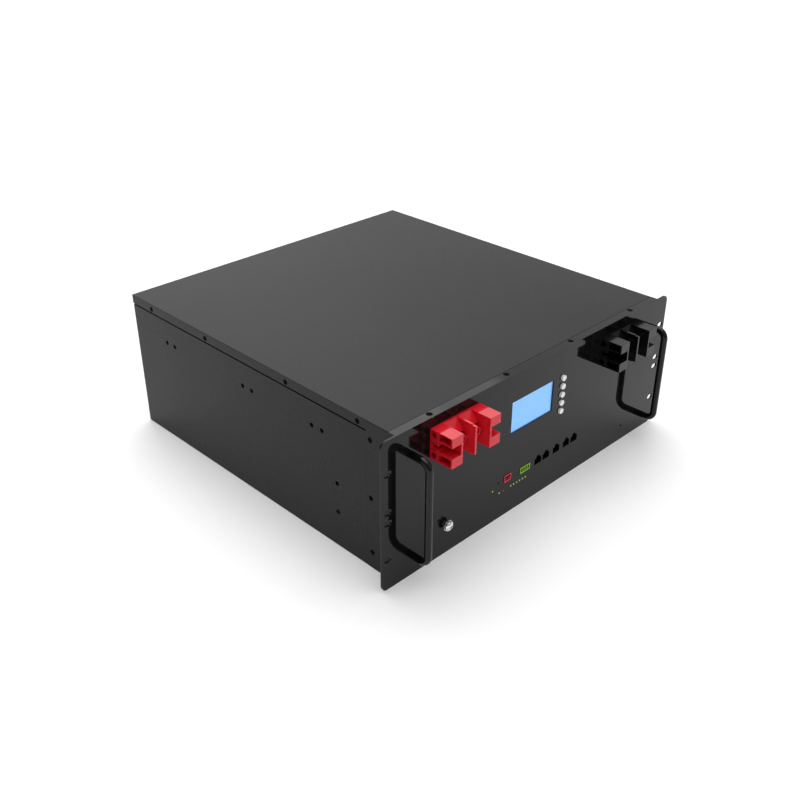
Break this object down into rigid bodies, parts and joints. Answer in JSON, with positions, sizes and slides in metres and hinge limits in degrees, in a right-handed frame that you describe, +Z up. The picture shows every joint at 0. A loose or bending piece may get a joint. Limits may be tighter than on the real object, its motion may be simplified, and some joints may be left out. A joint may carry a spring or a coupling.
{
  "type": "rack-mount battery pack",
  "caption": "Sheet-metal rack module holding lithium cells, with front panel ears, U handles, power terminals, display, keys, ports and status lights.",
  "frame": {"origin": "under the middle of the bounding box, on the plane the tray rests on", "axes": "+X to the right seen from the front, +Y from the front panel to the back, +Z up"},
  "size_m": [0.4826, 0.4871, 0.177],
  "materials": {
    "case_powder_coat": "satin black powder coat with a fine texture",
    "panel_gloss_coat": "gloss black coat",
    "handle_coat": "gloss black coat on round bar",
    "black_screws": "black oxide",
    "zinc_steel": "zinc plated",
    "chrome_screw": "bright nickel plating",
    "red_terminal_plastic": "moulded nylon, satin gloss",
    "black_terminal_plastic": "moulded nylon, satin gloss",
    "terminal_brass": "turned brass, nickel flashed",
    "copper_bar": "bare copper",
    "gold_contact": "gold flashed",
    "bezel_navy": "dark blue moulded lining",
    "display_glass": "clear flat window",
    "display_blue": "lit pale blue display",
    "key_grey": "light grey moulded caps",
    "black_plastic": "moulded black plastic",
    "green_plastic": "moulded green nylon",
    "dip_red": "moulded red plastic",
    "dip_dark_red": "moulded dark red plastic",
    "led_green": "tinted lens",
    "led_red": "tinted lens",
    "circuit_board": "solder-masked glass epoxy",
    "aluminium_bare": "mill finish",
    "cell_film_blue": "blue insulating film over an aluminium can",
    "epoxy_sheet": "glass epoxy sheet",
    "foam_pad": "closed-cell foam",
    "cable_orange": "silicone insulated lead",
    "cable_black": "silicone insulated lead",
    "fuse_body": "ceramic fuse body"
  },
  "bodies": {
    "pack": {"bms_board": "circuit_board", "bms_bracket": "zinc_steel", "bms_heat_sink": "aluminium_bare", "board_standoffs": "zinc_steel", "case_screws": "black_screws", "cell_busbars": "copper_bar", "cell_terminals": "aluminium_bare", "cells_back_row": "cell_film_blue", "cells_front_row": "cell_film_blue", "chassis_tray": "case_powder_coat", "clinch_nuts": "zinc_steel", "compression_pads": "foam_pad", "control_board": "circuit_board", "dip_switch_body": "dip_red", "dry_contact_header": "green_plastic", "dry_contact_pins": "gold_contact", "earth_nut": "zinc_steel", "earth_screw": "chrome_screw", "earth_washer": "chrome_screw", "end_plates": "aluminium_bare", "front_flange_screws": "black_screws", "front_frame": "case_powder_coat", "front_panel": "panel_gloss_coat", "green_leds": "led_green", "handle_left": "handle_coat", "handle_right": "handle_coat", "handle_screws": "zinc_steel", "hold_down_bars": "zinc_steel", "insulation_sheets": "epoxy_sheet", "key_switches": "black_plastic", "lcd_bezel": "bezel_navy", "lcd_module": "display_blue", "lcd_window": "display_glass", "main_fuse": "fuse_body", "negative_cable": "cable_black", "negative_terminal_block": "black_terminal_plastic", "positive_cable": "cable_orange", "positive_terminal_block": "red_terminal_plastic", "red_led": "led_red", "rj45_contacts": "gold_contact", "rj45_socket_1": "black_plastic", "rj45_socket_2": "black_plastic", "rj45_socket_3": "black_plastic", "rj45_socket_4": "black_plastic", "rj45_socket_5": "black_plastic", "sense_strips": "circuit_board", "small_pan_screws": "zinc_steel", "terminal_inserts": "terminal_brass", "terminal_link_plates": "copper_bar", "top_cover": "case_powder_coat"},
    "key_1": {"key_1": "key_grey"},
    "key_2": {"key_2": "key_grey"},
    "key_3": {"key_3": "key_grey"},
    "key_4": {"key_4": "key_grey"},
    "key_5": {"key_5": "key_grey"},
    "reset_button": {"reset_button": "black_plastic"},
    "dip_slider_1": {"dip_slider_1": "dip_dark_red"},
    "dip_slider_2": {"dip_slider_2": "dip_dark_red"},
    "dip_slider_3": {"dip_slider_3": "dip_dark_red"},
    "dip_slider_4": {"dip_slider_4": "dip_dark_red"}
  },
  "joints": [
    {"name": "key_1_press", "type": "slide", "parent": "pack", "child": "key_1", "axis": [0, 1, 0], "range_m": [0, 0.0008], "stiffness_N_per_m": 1200},
    {"name": "key_2_press", "type": "slide", "parent": "pack", "child": "key_2", "axis": [0, 1, 0], "range_m": [0, 0.0008], "stiffness_N_per_m": 1200},
    {"name": "key_3_press", "type": "slide", "parent": "pack", "child": "key_3", "axis": [0, 1, 0], "range_m": [0, 0.0008], "stiffness_N_per_m": 1200},
    {"name": "key_4_press", "type": "slide", "parent": "pack", "child": "key_4", "axis": [0, 1, 0], "range_m": [0, 0.0008], "stiffness_N_per_m": 1200},
    {"name": "key_5_press", "type": "slide", "parent": "pack", "child": "key_5", "axis": [0, 1, 0], "range_m": [0, 0.0008], "stiffness_N_per_m": 1200},
    {"name": "reset_press", "type": "slide", "parent": "pack", "child": "reset_button", "axis": [0, 1, 0], "range_m": [0, 0.0006], "stiffness_N_per_m": 1200},
    {"name": "dip_1_slide", "type": "slide", "parent": "pack", "child": "dip_slider_1", "axis": [0, 0, 1], "range_m": [0, 0.0012]},
    {"name": "dip_2_slide", "type": "slide", "parent": "pack", "child": "dip_slider_2", "axis": [0, 0, 1], "range_m": [0, 0.0012]},
    {"name": "dip_3_slide", "type": "slide", "parent": "pack", "child": "dip_slider_3", "axis": [0, 0, 1], "range_m": [0, 0.0012]},
    {"name": "dip_4_slide", "type": "slide", "parent": "pack", "child": "dip_slider_4", "axis": [0, 0, 1], "range_m": [0, 0.0012]}
  ]
}
